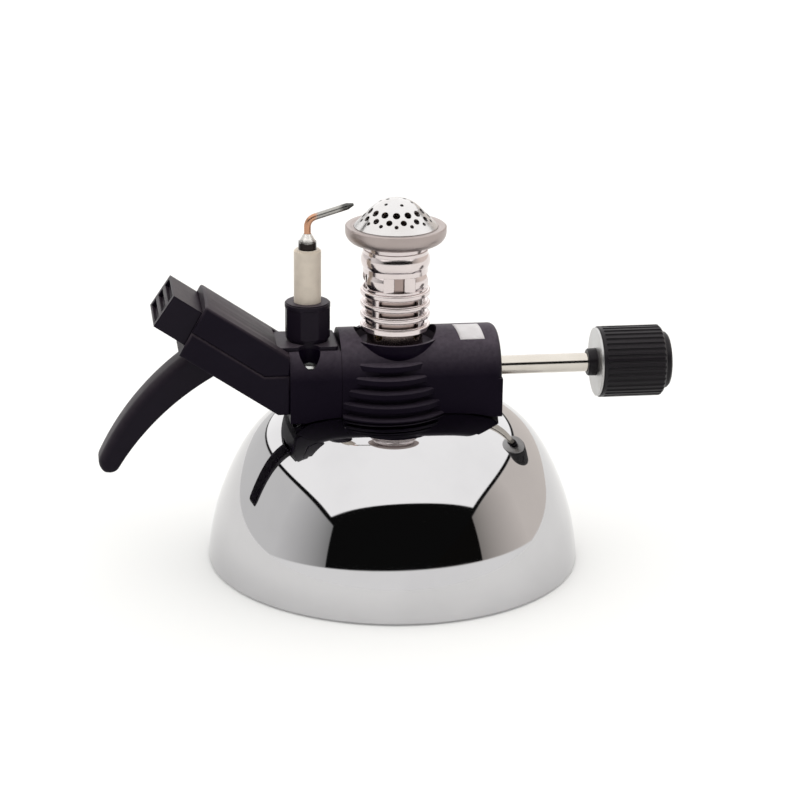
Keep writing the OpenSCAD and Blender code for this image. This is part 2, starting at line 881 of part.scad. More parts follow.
module piezo_cell() {
  color("#d8d2c4") down_arm(piezo_left, 0) difference() {
    union() {
      cylinder(r = piezo_r, h = piezo_left - piezo_right - 2);
      translate([0, 0, piezo_left - piezo_right - 2 - eps]) cylinder(r = 1.6, h = 2 + eps);
    }
    translate([0, 0, -1]) cylinder(r = plunger_r + fit, h = 1 + plunger_l + button_stroke + 0.3);
    translate([0, 0, piezo_left - piezo_right - 2]) cylinder(r = lead_r + fit, h = 3);
  }
}

module pivot_pin() {
  color("silver") across_arm(pivot_u, pivot_v)
    cylinder(r = pivot_r, h = arm_w - arm_wall - 0.2, center = true);
}

// Straight piece of the igniter lead from a to b, started a little before a
module lead_link(a, b) {
  d = b - a;
  translate(a) rotate([0, acos(d[2] / norm(d)), atan2(d[1], d[0])])
    translate([0, 0, -lead_r / 2]) cylinder(r = lead_r, h = norm(d) + lead_r / 2);
}

module igniter_lead() {
  start = arm_pt(piezo_right + 1.1, 0);
  out = arm_pt(piezo_right - 2, 0);
  route = [
    [start[0], 0, start[1]],
    [out[0], 0, out[1]],
    [electrode_x + 2.6, 0, out[1] + 1.2],
    [electrode_x + 2.6, 0, wire_z - 3.2],
    [electrode_x, 0, wire_z - 1.6],
    [electrode_x, 0, wire_z]
  ];
  color("firebrick") for (i = [0:len(route) - 2]) lead_link(route[i], route[i + 1]);
}

// ---- Trigger and button --------------------------------------------------------

module push_button() {
  pocket_h = 2;
  pocket_step = (button_top - button_low) / 3;
  color("#232125") {
    difference() {
      slab(button_w) uv_box(button_in, button_out, button_low, button_top);
      for (i = [0:2]) slab(button_w - 3.4)
        uv_box(
          button_out - 1.2, button_out + 1,
          button_low + pocket_step * (i + 0.5) - pocket_h / 2,
          button_low + pocket_step * (i + 0.5) + pocket_h / 2
        );
    }
    difference() {
      union() {
        for (side = [-1, 1]) translate([0, side * (rail_in + rail_out) / 2, 0])
          slab(rail_out - rail_in) {
            uv_box(web_u, arm_len - mouth_t - 0.4, rail_low, rail_top);
            uv_box(web_u, button_in + eps, button_low, rail_top);
          }
        slab(rail_in + rail_out) uv_box(web_u, web_u + 1.7, -1.5, rail_top);
        down_arm(web_u + eps, 0) cylinder(r = plunger_r, h = web_u + eps - piezo_left + plunger_l);
      }
      across_arm(pin_u, pin_v) cylinder(r = pin_r + fit, h = far, center = true);
    }
  }
}

// Rectangle along the arm from u0 to u1 and from v0 to v1
module uv_box(u0, u1, v0, v1) {
  polygon([arm_pt(u0, v0), arm_pt(u1, v0), arm_pt(u1, v1), arm_pt(u0, v1)]);
}

module cross_pin() {
  color("silver") across_arm(pin_u, pin_v) cylinder(r = pin_r, h = 2 * rail_out, center = true);
}

module trigger_lever() {
  pin_angle = atan((pin_u - pivot_u) / pin_arm);
  slot_out = pin_arm / cos(pin_angle) + 0.05;
  slot_w = 2 * (pin_r + 0.3);
  hub = arm_pt(pivot_u, pivot_v);
  color("#1f1d21") slab(lever_w) difference() {
    union() {
      // curved blade between the two arcs
      difference() {
        intersection() {
          translate(outer_c) circle(r = lever_bend_r, $fn = 360);
          polygon([
            tip_c - 12 * tip_in_dir,
            tip_c + 12 * tip_in_dir,
            arm_pt(slot_u0, -arm_down - 0.4),
            arm_pt(slot_u1 + 3, -arm_down - 0.4)
          ]);
        }
        translate(inner_c) circle(r = inner_r, $fn = 360);
      }
      translate(tip_c) circle(r = tip_r);
      // neck that goes through the slot up to the pivot
      polygon([
        arm_pt(pivot_u - hub_r, pivot_v),
        arm_pt(pivot_u + hub_r, pivot_v),
        arm_pt(pivot_u + 4.1, pivot_v - 4.6),
        arm_pt(pivot_u + 4.1, pivot_v - 7.2),
        arm_pt(slot_u1 - 0.9, pivot_v - 8.6),
        arm_pt(slot_u1 - 1, -arm_down - 0.45),
        arm_pt(slot_u0 + 4.7, -arm_down - 0.45),
        arm_pt(pivot_u - 2.8, -arm_down + 1.2)
      ]);
      translate(hub) circle(r = hub_r);
    }
    translate(hub) circle(r = pivot_r + fit);
    // slot for the cross pin, along the line from the pivot
    translate(hub) rotate(-arm_tilt - 90 - pin_angle) {
      translate([pin_arm - 0.05, -slot_w / 2]) square([slot_out - pin_arm + 0.05, slot_w]);
      translate([pin_arm - 0.05, 0]) circle(d = slot_w);
      translate([slot_out, 0]) circle(d = slot_w);
    }
  }
}

// ---- Valve and knob ------------------------------------------------------------

module valve_block() {
  color("goldenrod") difference() {
    union() {
      translate([0, 0, crown_z]) cylinder(r = column_flange_r, h = column_flange_t);
      translate([0, 0, crown_z]) cylinder(r = column_r, h = column_top - crown_z);
      cylinder(r = mix_bore_r - fit, h = spigot_top);
      along_x(0) cylinder(r = barrel_r, h = barrel_end);
    }
    translate([0, 0, -1]) cylinder(r = far, h = crown_z + 1);
    // socket for the neck of the tank, and the inlet from it
    cylinder(r = neck_r + fit, h = neck_top + fit);
    translate([seat_x + 0.9, 0, 0]) cylinder(r = 0.9, h = axis_z);
    // needle bore with its key way, seat, gland thread
    along_x(seat_x) cylinder(r = needle_r + fit, h = far);
    translate([seat_x, -key_w / 2 - fit, axis_z]) {
      cube([spindle_collar_x - seat_x - 0.1, key_w + 2 * fit, needle_r + key_h + fit]);
    }
    along_x(0) cylinder(r = seat_r, h = far);
    along_x(nut_left) cylinder(r = nut_r + fit, h = far);
    // outlet up to the jet
    translate([0, 0, axis_z]) cylinder(r = 1.2, h = far);
    translate([0, 0, jet_z]) cylinder(r = jet_r + fit, h = far);
  }
}

module gas_jet() {
  jet_head_t = 1.6;
  jet_nose_h = 2.4;
  color("gold") difference() {
    union() {
      translate([0, 0, jet_z]) cylinder(r = jet_r, h = spigot_top - jet_z + eps);
      translate([0, 0, spigot_top]) cylinder(r = jet_r + 1.3, h = jet_head_t, $fn = 6);
      translate([0, 0, spigot_top + jet_head_t - eps])
        cylinder(r1 = jet_r, r2 = jet_r / 2, h = jet_nose_h);
    }
    translate([0, 0, jet_z - 1]) cylinder(r = 0.9, h = spigot_top + jet_head_t + 1 - jet_z);
    cylinder(r = 0.25, h = far);
  }
}

module needle() {
  color("silver") {
    along_x(seat_x - 1.4) cylinder(r1 = 0.3, r2 = seat_r + 0.2, h = 1.9 + eps);
    difference() {
      along_x(needle_left) cylinder(r = needle_r, h = needle_right - needle_left);
      along_x(needle_bore_x) cylinder(r = thread_r + fit, h = far);
    }
    translate([needle_left + 1, -key_w / 2, axis_z + needle_r - 0.5])
      cube([needle_right - needle_left - 1, key_w, key_h + 0.5]);
  }
}

module gland_nut() {
  color("goldenrod") difference() {
    union() {
      along_x(nut_left) cylinder(r = nut_r, h = barrel_end - nut_left + eps);
      along_x(barrel_end) rotate([0, 0, 30])
        cylinder(r = nut_flats / sqrt(3), h = nut_head_t, $fn = 6);
    }
    along_x(0) cylinder(r = spindle_r + fit, h = far);
    along_x(ring_x) cylinder(r = ring_r + fit, h = ring_t + 0.1);
  }
}

module spindle_seal() {
  color("#303030") along_x(ring_x + 0.05) ring(ring_r, spindle_r + fit, ring_t);
}

module spindle() {
  color("silver") difference() {
    union() {
      along_x(thread_left) cylinder(r = thread_r, h = spindle_collar_x - thread_left + eps);
      along_x(spindle_collar_x) cylinder(r = needle_r, h = spindle_collar_t);
      along_x(spindle_collar_x) cylinder(r = spindle_r, h = spindle_right - spindle_collar_x);
    }
    spindle_flat(0);
  }
}

// Flat on the spindle inside the knob, moved out by g
module spindle_flat(g) {
  translate([knob_left + 1, -far / 2, axis_z + spindle_r - 0.7 + g]) cube([far, far, far]);
}

// Barrel with grooves that run out at its right end and stop short of the left one
module knob() {
  groove_r = 0.5;
  groove_x = knob_left + 1.9;
  chamfer = 0.6;
  color("#151515") difference() {
    along_x(0) rotate_extrude() polygon([
      [0, knob_left - knob_boss_l],
      [knob_boss_r - 0.3, knob_left - knob_boss_l],
      [knob_boss_r, knob_left - knob_boss_l + 0.3],
      [knob_boss_r, knob_left + knob_plate_t],
      [knob_r - 0.2, knob_left + knob_plate_t],
      [knob_r, knob_left + knob_plate_t + 0.2],
      [knob_r, knob_right - chamfer],
      [knob_r - chamfer, knob_right],
      [0, knob_right]
    ]);
    for (i = [0:knob_rib_n - 1]) rotate_on_axis(360 / knob_rib_n * (i + 0.5))
      translate([groove_x, 0, knob_r + groove_r - knob_rib_depth]) {
        rotate([0, 90, 0]) cylinder(r = groove_r, h = far);
        sphere(r = groove_r);
      }
    difference() {
      along_x(0) cylinder(r = spindle_r + fit, h = spindle_right + fit);
      spindle_flat(fit);
    }
    along_x(knob_right - 2) cylinder(r = 5, h = 3);
  }
}

// Turns a child drawn round the x axis to lie round the spindle's axis
module rotate_on_axis(a) {
  translate([0, 0, axis_z]) rotate([a, 0, 0]) children();
}

module knob_cap() {
  color("#19191b") {
    along_x(knob_right) rotate_extrude() polygon([
      [0, 0],
      [knob_cap_r, 0],
      [knob_cap_r, knob_cap_t - 0.5],
      [knob_cap_r - 0.5, knob_cap_t],
      [0, knob_cap_t]
    ]);
    along_x(knob_right - 1.9) cylinder(r = 5 - fit, h = 1.9 + eps);
  }
}

module knob_plate() {
  color("gainsboro") along_x(knob_left) ring(knob_r - 0.35, knob_boss_r + fit, knob_plate_t);
}

// ---- Burner tube ---------------------------------------------------------------

module mixing_tube() {
  color("lightsteelblue") difference() {
    translate([0, 0, column_top]) ring(mix_r, mix_bore_r, mix_top - column_top);
    // air inlets
    for (a = [45, 135]) translate([0, 0, sleeve_z - 0.8]) rotate([90, 0, a])
      cylinder(r = 1.3, h = far, center = true);
  }
}

module burner_sleeve() {
  color("silver") difference() {
    rotate_extrude() union() {
      // foot ring, beads between the slotted grooves, ring above them
      translate([0, sleeve_z]) bead(1.45, 0.25);
      for (i = [0:2]) translate([0, slot_z(i) + groove_h / 2])
        bead(i < 2 ? slot_pitch - groove_h : 1.5, 0.45);
      // two barrel-shaped bands
      for (i = [0, 1]) translate([0, band_z + band_pitch * i + 0.25]) barrel(band_pitch - 0.6);
      translate([0, sleeve_z + 0.2]) square([sleeve_groove_r, neck_z - sleeve_z]);
      polygon([
        [0, neck_z - 0.3],
        [sleeve_groove_r - 0.35, neck_z - 0.3],
        [sleeve_groove_r + 0.25, sleeve_top],
        [0, sleeve_top]
      ]);
    }
    translate([0, 0, sleeve_z - 1]) cylinder(r = sleeve_bore_r, h = neck_z - sleeve_z + 0.6);
    cylinder(r = mix_r + fit, h = far);
    for (i = [0:2]) translate([0, 0, slot_z(i) - slot_h / 2]) slots();
    for (a = [0, 90, 180, 270]) rotate([90, 0, a])
      translate([0, band_z + band_pitch / 2 - 0.05, mix_r + 0.3])
        linear_extrude(far) rounded_box(window_w, window_h, 0.6);
  }
}

function slot_z(i) = sleeve_z + 2.3 + slot_pitch * i;

// Half section of a ring of height h with edges rounded by e
module bead(h, e) {
  square([sleeve_r - e, h]);
  translate([0, e]) square([sleeve_r, h - 2 * e]);
  for (z = [e, h - e]) translate([sleeve_r - e, z]) circle(r = e);
}

// Half section of a band of height h with a barrel-shaped face
module barrel(h) {
  bulge_r = 3.6;
  intersection() {
    translate([sleeve_r - 0.12 - bulge_r, h / 2]) circle(r = bulge_r);
    square([sleeve_r, h]);
  }
}

// Slots through one groove, with bridges left between them
module slots() {
  bridge = 180 / slot_n - slot_half;
  difference() {
    cylinder(r = sleeve_r + 1, h = slot_h);
    for (i = [0:slot_n - 1]) rotate([0, 0, -90 + 360 / slot_n * (i + 0.5)])
      translate([0, 0, -1]) linear_extrude(slot_h + 2)
        polygon([[0, 0], far * [cos(bridge), -sin(bridge)], far * [cos(bridge), sin(bridge)]]);
  }
}

// Rectangle round the origin with corners rounded by r
module rounded_box(w, h, r) {
  square([w - 2 * r, h], center = true);
  square([w, h - 2 * r], center = true);
  for (x = [-1, 1], y = [-1, 1]) translate([x * (w / 2 - r), y * (h / 2 - r)]) circle(r = r);
}

module burner_head() {
  floor_t = 1;
  side_x = head_r - bowl_r;
  color("silver") difference() {
    rotate_extrude() union() {
      translate([0, sleeve_top]) square([side_x, bowl_r + rim_h - 0.5]);
      translate([0, sleeve_top + bowl_r]) square([head_r, rim_h - 0.25]);
      intersection() {
        translate([side_x, sleeve_top + bowl_r]) circle(r = bowl_r);
        translate([0, sleeve_top]) square([head_r, bowl_r]);
      }
      // rim that slopes in to the cap
      polygon([
        [cap_skirt_r - 1, head_z - 0.5],
        [head_r, head_z - 0.3],
        [head_r - 0.3, head_z],
        [head_r - 1.2, head_z - 0.05],
        [cap_skirt_r, head_z - 0.4]
      ]);
    }
    translate([0, 0, sleeve_top + floor_t]) cylinder(r = cap_skirt_r - 1, h = far);
    translate([0, 0, skirt_z]) cylinder(r = cap_skirt_r + fit, h = far);
    cylinder(r = mix_r + fit, h = far);
  }
}

module flame_cap() {
  color("lightgray") difference() {
    rotate_extrude() difference() {
      cap_section(0);
      cap_section(cap_wall);
    }
    hole_row(cap_holes, cap_top_r + 0.55, 0.9, 0);
    hole_row(cap_holes, cap_top_r + 2, 0.78, 0.5);
    hole_row(cap_holes, cap_top_r + 2.8, 0.5, 0);
    hole_row(6, cap_top_r * 0.66, 0.45, 0.33);
    hole_row(2, cap_top_r * 0.35, 0.45, 0.54);
  }
}

// Half section of the cap's outer form, or of its inside when w is the wall
module cap_section(w) {
  r = cap_skirt_r - w;
  low = skirt_z - w;
  shoulder_z = skirt_top + w * (tan(cone_tilt) - 1 / cos(cone_tilt));
  intersection() {
    polygon([[0, low], [r, low], [r, shoulder_z], [0, shoulder_z + r * tan(cone_tilt)]]);
    union() {
      translate([0, cap_c]) circle(r = cap_sphere_r - w);
      translate([0, low - 1]) square([r + 1, cap_c + (cap_sphere_r - w) * cos(cone_tilt) - low + 1]);
    }
  }
}

// Row of n round holes of radius r, square to the cap's face at radius row_r
module hole_row(n, row_r, r, shift) {
  for (i = [0:n - 1]) rotate([0, 0, -97 + 360 / n * (i + shift)])
    translate([row_r, 0, cap_face_z(row_r)]) rotate([0, cap_tilt(row_r), 0])
      translate([0, 0, -2]) cylinder(r = r, h = 4);
}

// ---- Electrode -----------------------------------------------------------------

module electrode_holder() {
  lip_h = 1.2;
  foot_h = 2.2;
  color("#17161a") difference() {
    union() {
      translate([electrode_x - flange_back + flange_l / 2, 0, flange_z])
        linear_extrude(flange_t) rounded_box(flange_l, flange_w, 1);
      // octagonal tube, drawn in towards its foot
      intersection() {
        translate([electrode_x, 0, flange_top - eps]) rotate([0, 0, 22.5])
          cylinder(r = holder_r / cos(22.5), h = holder_z - lip_h - flange_top + eps, $fn = 8);
        translate([electrode_x, 0, flange_top - 1]) {
          cylinder(r1 = holder_r - 0.9, r2 = holder_r + 0.9, h = foot_h + 1);
          translate([0, 0, foot_h + 1 - eps]) cylinder(r = holder_r + 0.9, h = holder_z);
        }
      }
      translate([electrode_x, 0, holder_z - lip_h - eps]) {
        cylinder(r = holder_r + 0.3, h = lip_h - 0.3 + eps);
        cylinder(r = holder_r, h = lip_h + eps);
      }
      translate([electrode_x, 0, stem_z]) cylinder(r = stem_r, h = flange_z - stem_z + eps);
    }
    translate([electrode_x, 0, 0]) {
      cylinder(r = 1.6, h = far);
      translate([0, 0, insulator_z0]) cylinder(r = insulator_r + fit, h = far);
    }
    screw_pocket(flange_top + 0.9);
  }
}

module insulator() {
  color("#e6e0d0") translate([electrode_x, 0, insulator_z0]) difference() {
    union() {
      cylinder(r = insulator_r, h = insulator_z - insulator_z0 - 0.4);
      cylinder(r = insulator_r - 0.4, h = insulator_z - insulator_z0);
    }
    translate([0, 0, -1]) cylinder(r = wire_r + fit, h = far);
  }
}

module ferrule() {
  color("silver") translate([electrode_x, 0, insulator_z]) difference() {
    union() {
      cylinder(r = ferrule_r, h = ferrule_top - insulator_z - 0.25);
      cylinder(r = ferrule_r - 0.25, h = ferrule_top - insulator_z);
      translate([0, 0, ferrule_top - insulator_z - eps])
        cylinder(r1 = ferrule_r - 0.3, r2 = wire_r + 0.15, h = 1.7);
    }
    translate([0, 0, -1]) cylinder(r = wire_r + fit, h = far);
  }
}

module electrode_wire() {
  tip_l = 1.6;
  turn = 90 - wire_rise;
  color("#b8754a") translate([electrode_x, 0, 0]) {
    translate([0, 0, wire_z]) cylinder(r = wire_r, h = wire_bend_z - wire_z);
    translate([wire_bend_r, 0, wire_bend_z]) {
      // bend towards the burner, then the straight end with its point
      rotate([90, 0, 0]) rotate([0, 0, 180 - turn]) rotate_extrude(angle = turn)
        translate([wire_bend_r, 0]) circle(r = wire_r);
      rotate([0, turn, 0]) translate([-wire_bend_r, 0, 0]) {
        cylinder(r = wire_r, h = wire_reach - tip_l);
        translate([0, 0, wire_reach - tip_l - eps]) cylinder(r1 = wire_r, r2 = 0.3, h = tip_l);
      }
    }
  }
}

base_shell();
base_plate();
foot_ring();
base_screws();
tank_lower();
tank_upper();
filler_body();
filler_seal();
filler_stem();
body_housing();
body_screws();
igniter_block();
block_screw();
arm_upper();
arm_lower();
arm_screws();
piezo_cell();
pivot_pin();
igniter_lead();
push_button();
cross_pin();
trigger_lever();
valve_block();
gland_nut();
spindle_seal();
gas_jet();
needle();
spindle();
knob();
knob_cap();
knob_plate();
mixing_tube();
burner_sleeve();
burner_head();
flame_cap();
electrode_holder();
insulator();
ferrule();
electrode_wire();
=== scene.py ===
# A self-contained laboratory gas burner: a chrome dome over the fuel tank, a black valve body,
# a slotted burner tube with its flame cap, the valve spindle and knob, and a piezo trigger.
import math
import bmesh
import bpy
from mathutils import Matrix, Vector


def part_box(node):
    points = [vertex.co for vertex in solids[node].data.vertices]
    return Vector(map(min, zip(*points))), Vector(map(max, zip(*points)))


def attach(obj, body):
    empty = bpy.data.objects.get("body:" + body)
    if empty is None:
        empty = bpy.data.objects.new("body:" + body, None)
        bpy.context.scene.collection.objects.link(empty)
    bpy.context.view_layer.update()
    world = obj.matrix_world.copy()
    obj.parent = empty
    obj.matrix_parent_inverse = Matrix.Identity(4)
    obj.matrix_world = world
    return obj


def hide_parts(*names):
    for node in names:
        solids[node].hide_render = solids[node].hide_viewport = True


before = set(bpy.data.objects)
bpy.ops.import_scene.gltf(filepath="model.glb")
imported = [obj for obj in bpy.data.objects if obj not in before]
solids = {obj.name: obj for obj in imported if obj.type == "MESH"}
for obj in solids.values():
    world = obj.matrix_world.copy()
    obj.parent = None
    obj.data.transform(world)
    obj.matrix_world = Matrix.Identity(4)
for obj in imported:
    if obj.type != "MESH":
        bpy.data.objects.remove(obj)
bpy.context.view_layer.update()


# ---- Camera ----------------------------------------------------------------------
# The burner stands a little turned, seen from above its front through a long lens. The
# camera looks at the top of the dome and leans very slightly.

image_px = 800
sensor_mm = 36
focal_px = 2495.14
view_turn = math.radians(-8.10)
stand_back = 0.600
eye_height = 0.24891
aim_height = 0.04157
aim_right = 0.00152
view_roll = math.radians(0.67)

eye = Vector((math.sin(view_turn) * stand_back, -math.cos(view_turn) * stand_back, eye_height))
aim = Vector((0, 0, aim_height)) + aim_right * Vector((math.cos(view_turn), math.sin(view_turn), 0))
forward = (aim - eye).normalized()
level_right = forward.cross(Vector((0, 0, 1))).normalized()
level_up = level_right.cross(forward)
right = math.cos(view_roll) * level_right + math.sin(view_roll) * level_up
up = math.cos(view_roll) * level_up - math.sin(view_roll) * level_right

lens = bpy.data.cameras.new("camera")
lens.sensor_width = sensor_mm
lens.lens = focal_px * sensor_mm / image_px
lens.clip_start = 0.05
lens.clip_end = 20
camera = bpy.data.objects.new("camera", lens)
bpy.context.scene.collection.objects.link(camera)
turned = Matrix((right, up, -forward)).transposed().to_4x4()
camera.matrix_world = Matrix.Translation(eye) @ turned
bpy.context.scene.camera = camera
bpy.context.scene.view_settings.view_transform = "Standard"


# ---- Studio light ----------------------------------------------------------------
# A wide softbox overhead, paler ones at the sides, and a dark room in front, which the
# polished dome mirrors. It is painted on the sky by direction, so nothing hangs near.

def add_node(tree, kind, inputs=None, **settings):
    made = tree.nodes.new(kind)
    for key, value in settings.items():
        setattr(made, key, value)
    for key, value in (inputs or {}).items():
        if isinstance(value, bpy.types.NodeSocket):
            tree.links.new(value, made.inputs[key])
        else:
            made.inputs[key].default_value = value
    return made


def maths(tree, operation, first, second):
    return add_node(tree, "ShaderNodeMath", {0: first, 1: second}, operation=operation).outputs[0]


def times(tree, first, second):
    return maths(tree, "MULTIPLY", first, second)


def plus(tree, first, second):
    return maths(tree, "ADD", first, second)


def minus(tree, first, second):
    return maths(tree, "SUBTRACT", first, second)


def larger(tree, first, second):
    return maths(tree, "MAXIMUM", first, second)


def ramp(tree, value, low, high, out_low=0.0, out_high=1.0):
    inputs = {"Value": value, "From Min": low, "From Max": high, "To Min": out_low, "To Max": out_high}
    return add_node(tree, "ShaderNodeMapRange", inputs).outputs[0]


def soft_edge(tree, value, blur):
    """0 where the value is negative and 1 where it is positive, with a soft change between."""
    return ramp(tree, value, low=-blur, high=blur)


overhead_light = 1.42
side_light = 0.86
side_light_front = 0.30
room_light = 0.006
floor_light = 1.12
softbox_white = (1.0, 0.995, 0.985)
warm_side = (1.0, 0.925, 0.86)
warm_from = 0.3
box_front = 1.20
box_side = 1.6
box_blur = 0.008
gap_side = 1.76
front_half = 1.19
side_blur = 0.01
side_fade = (0.05, 0.85)
least_side = 0.02
sweep_rise = 0.15
sweep_blur = 0.004

sky = bpy.data.worlds.new("studio")
bpy.context.scene.world = sky
sky.use_nodes = True
paint = sky.node_tree
paint.nodes.clear()
direction = add_node(paint, "ShaderNodeTexCoord").outputs["Generated"]
look = add_node(paint, "ShaderNodeSeparateXYZ", {0: direction})
side_way = maths(paint, "ABSOLUTE", look.outputs["X"], 0.0)
front_way = times(paint, look.outputs["Y"], -1.0)
up_way = look.outputs["Z"]

under_front = soft_edge(paint, minus(paint, times(paint, up_way, box_front), front_way), box_blur)
under_side = soft_edge(paint, minus(paint, times(paint, up_way, box_side), side_way), box_blur)
overhead = times(paint, times(paint, under_front, under_side), overhead_light)
beside = soft_edge(paint, minus(paint, side_way, times(paint, up_way, gap_side)), side_blur)
off_front = soft_edge(paint, minus(paint, side_way, times(paint, front_way, front_half)), side_blur)
fade = maths(paint, "DIVIDE", front_way, larger(paint, side_way, least_side))
side_level = ramp(paint, fade, *side_fade, side_light, side_light_front)
sides = times(paint, times(paint, beside, off_front), side_level)
boxes = plus(paint, overhead, plus(paint, sides, room_light))

# The white sheet sweeps up a little in front, so the dome mirrors it up to there.
sweep_edge = larger(paint, times(paint, front_way, sweep_rise), 0.0)
sweep = soft_edge(paint, minus(paint, sweep_edge, up_way), sweep_blur)
off_sweep = minus(paint, 1.0, sweep)
level = plus(paint, times(paint, boxes, off_sweep), times(paint, sweep, floor_light))
seen = add_node(paint, "ShaderNodeLightPath").outputs["Is Camera Ray"]
unseen = minus(paint, 1.0, seen)
level = plus(paint, times(paint, level, unseen), seen)

# The box on the right is warmer than the rest.
on_right = ramp(paint, look.outputs["X"], low=0.0, high=warm_from)
warmth = times(paint, times(paint, beside, off_sweep), on_right)
cool_share = minus(paint, 1.0, times(paint, warmth, unseen))
cooler = tuple(white - warm for white, warm in zip(softbox_white, warm_side))
cast_parts = {0: cool_share, 1: cooler, 2: warm_side}
cast = add_node(paint, "ShaderNodeVectorMath", cast_parts, operation="MULTIPLY_ADD")
shine = add_node(paint, "ShaderNodeBackground", {"Color": cast.outputs[0], "Strength": level})
add_node(paint, "ShaderNodeOutputWorld", {"Surface": shine.outputs[0]})


# ---- Floor -----------------------------------------------------------------------
# A plain white sheet that runs out of sight and keeps the burner's soft shadow. It glows
# a little to the eye and in reflections, so that it reads as white.

floor_half = 4.0
floor_lift = 0.16
floor_white = (0.80, 0.80, 0.79, 1.0)
floor_glow = (1.0, 1.0, 0.995, 1.0)

sheet = bpy.data.meshes.new("floor")
corners = [(x * floor_half, y * floor_half, 0) for x, y in ((-1, -1), (1, -1), (1, 1), (-1, 1))]
sheet.from_pydata(corners, [], [(0, 1, 2, 3)])
floor = bpy.data.objects.new("floor", sheet)
bpy.context.scene.collection.objects.link(floor)

white_sheet = bpy.data.materials.new("white_sheet")
white_sheet.use_nodes = True
tree = white_sheet.node_tree
tree.nodes.clear()
path = add_node(tree, "ShaderNodeLightPath").outputs
reflected = larger(tree, path["Is Glossy Ray"], path["Is Transmission Ray"])
direct = larger(tree, path["Is Camera Ray"], reflected)
matt = add_node(tree, "ShaderNodeBsdfDiffuse", {"Color": floor_white})
glow_level = times(tree, direct, floor_lift)
glow = add_node(tree, "ShaderNodeEmission", {"Color": floor_glow, "Strength": glow_level})
both = add_node(tree, "ShaderNodeAddShader", {0: matt.outputs[0], 1: glow.outputs[0]})
add_node(tree, "ShaderNodeOutputMaterial", {"Surface": both.outputs[0]})
sheet.materials.append(white_sheet)


# ---- Dome base -------------------------------------------------------------------
# The dome is drawn from sheet steel, polished and chrome plated. It hides the fuel tank
# and turns in at its lower edge, where the black bottom plate is screwed on.

def new_finish(name):
    """An empty material with a place on the piece in millimetres."""
    made = bpy.data.materials.new(name)
    made.use_nodes = True
    made.node_tree.nodes.clear()
    tree = made.node_tree
    place = add_node(tree, "ShaderNodeTexCoord").outputs["Object"]
    scaled = add_node(tree, "ShaderNodeVectorMath", {0: place, "Scale": 1000.0}, operation="SCALE")
    return made, tree, scaled.outputs[0]


def cloud(tree, place, size, detail=3.0, stretch=(1.0, 1.0, 1.0)):
    """Soft noise with spots about so many millimetres across."""
    scale = tuple(s / size for s in stretch)
    spread = add_node(tree, "ShaderNodeVectorMath", {0: place, 1: scale}, operation="MULTIPLY")
    inputs = {"Vector": spread.outputs[0], "Scale": 1.0, "Detail": detail}
    return add_node(tree, "ShaderNodeTexNoise", inputs).outputs["Fac"]


def blend_colours(tree, share, first, second):
    made = add_node(tree, "ShaderNodeMix", {"Factor": share}, data_type="RGBA")
    colour_ends = [s for s in made.inputs if s.type == "RGBA"]
    for socket, value in zip(colour_ends, (first, second)):
        if isinstance(value, bpy.types.NodeSocket):
            tree.links.new(value, socket)
        else:
            socket.default_value = (*value, 1.0)
    return [s for s in made.outputs if s.type == "RGBA"][0]


def relief(tree, height, strength, depth, edge=0.0, samples=4):
    """The surface's direction with its edges rounded and a bump of this depth, both in metres."""
    inputs = {"Strength": strength, "Distance": depth, "Height": height}
    if edge:
        inputs["Normal"] = add_node(tree, "ShaderNodeBevel", {"Radius": edge}, samples=samples).outputs[0]
    return add_node(tree, "ShaderNodeBump", inputs).outputs[0]


def close_finish(tree, shade, gloss, normal, metal=0.0, gleam=0.5):
    """Ends a material with its colour, roughness and surface direction."""
    inputs = {"Base Color": shade, "Metallic": metal, "Roughness": gloss, "Normal": normal}
    skin = add_node(tree, "ShaderNodeBsdfPrincipled", {**inputs, "Specular IOR Level": gleam})
    add_node(tree, "ShaderNodeOutputMaterial", {"Surface": skin.outputs[0]})


def metal_finish(name, colour, stain, rough, rough_spread, scratch_depth, edge=0.00015, lathe=0.0):
    """Bare or plated metal: smeared gloss, faint stains, fine scratches, and lathe rings if turned."""
    made, tree, mm = new_finish(name)
    smear = cloud(tree, mm, size=14.0, detail=4.0)
    scratches = cloud(tree, mm, size=0.35, detail=6.0, stretch=(1.0, 1.0, 6.0))
    shade = blend_colours(tree, ramp(tree, smear, low=0.42, high=0.72), colour, stain)
    wear = plus(tree, times(tree, smear, 0.7), times(tree, scratches, 0.3))
    gloss = ramp(tree, wear, low=0.3, high=0.75, out_low=rough, out_high=rough + rough_spread)
    height = scratches
    if lathe:
        wave = {"Vector": mm, "Scale": 1.4, "Distortion": 0.6, "Detail": 2.0}
        turning = add_node(tree, "ShaderNodeTexWave", wave, bands_direction="Z").outputs["Fac"]
        height = plus(tree, scratches, times(tree, turning, lathe))
    normal = relief(tree, height, strength=0.5, depth=scratch_depth, edge=edge)
    close_finish(tree, shade, gloss, normal, metal=1.0)
    return made


def dress(finish, *nodes):
    """Puts a material on solids of the frame."""
    for node in nodes:
        solid = solids[node].data
        solid.materials.clear()
        solid.materials.append(finish)


def add_piece(name, mesh, crease):
    """Makes a mesh into a piece of the scene, smooth but for edges sharper than the crease."""
    mesh.shade_smooth()
    mesh.set_sharp_from_angle(angle=math.radians(crease))
    piece = bpy.data.objects.new(name, mesh)
    bpy.context.scene.collection.objects.link(piece)
    return piece


